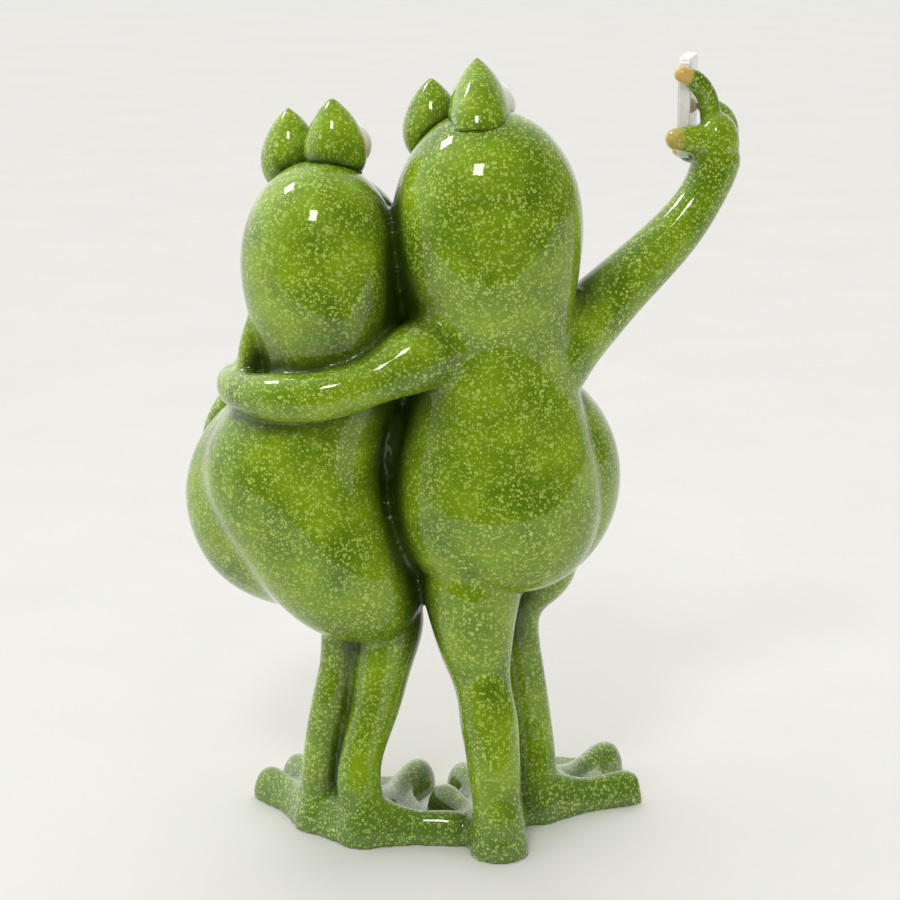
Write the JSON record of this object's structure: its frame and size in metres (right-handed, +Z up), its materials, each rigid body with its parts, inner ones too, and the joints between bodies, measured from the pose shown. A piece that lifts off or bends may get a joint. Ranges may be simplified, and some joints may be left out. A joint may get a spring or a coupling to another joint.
{
  "type": "frog figurine",
  "caption": "Standing ornament of a frog pair hugging, cast in glossy speckled green resin, the taller one holding a phone up at arm's length.",
  "frame": {"origin": "centre of the overall box at the soles, on the surface that the figure stands on", "axes": "+X across the pair towards the raised arm, +Y the way the frogs face, +Z up"},
  "size_m": [0.1497, 0.0744, 0.2104],
  "materials": {
    "green_resin": "gloss",
    "foot_resin": "gloss",
    "eye_enamel": "gloss",
    "phone_enamel": "gloss",
    "wire_steel": "satin"
  },
  "bodies": {
    "root": {"tall_frog_body": "green_resin", "small_frog_body": "green_resin", "tall_right_eyelid": "green_resin", "tall_left_eyelid": "green_resin", "small_right_eyelid": "green_resin", "small_left_eyelid": "green_resin", "tall_right_eyeball": "eye_enamel", "tall_left_eyeball": "eye_enamel", "small_right_eyeball": "eye_enamel", "small_left_eyeball": "eye_enamel", "raised_arm": "green_resin", "hugging_arm": "green_resin", "small_left_arm": "green_resin", "small_right_arm": "green_resin", "tall_left_leg": "green_resin", "tall_right_leg": "green_resin", "small_left_leg": "green_resin", "small_right_leg": "green_resin", "tall_left_foot": "foot_resin", "tall_right_foot": "foot_resin", "small_left_foot": "foot_resin", "small_right_foot": "foot_resin", "phone": "phone_enamel", "arm_wires": "wire_steel", "leg_wires": "wire_steel"}
  },
  "joints": []
}
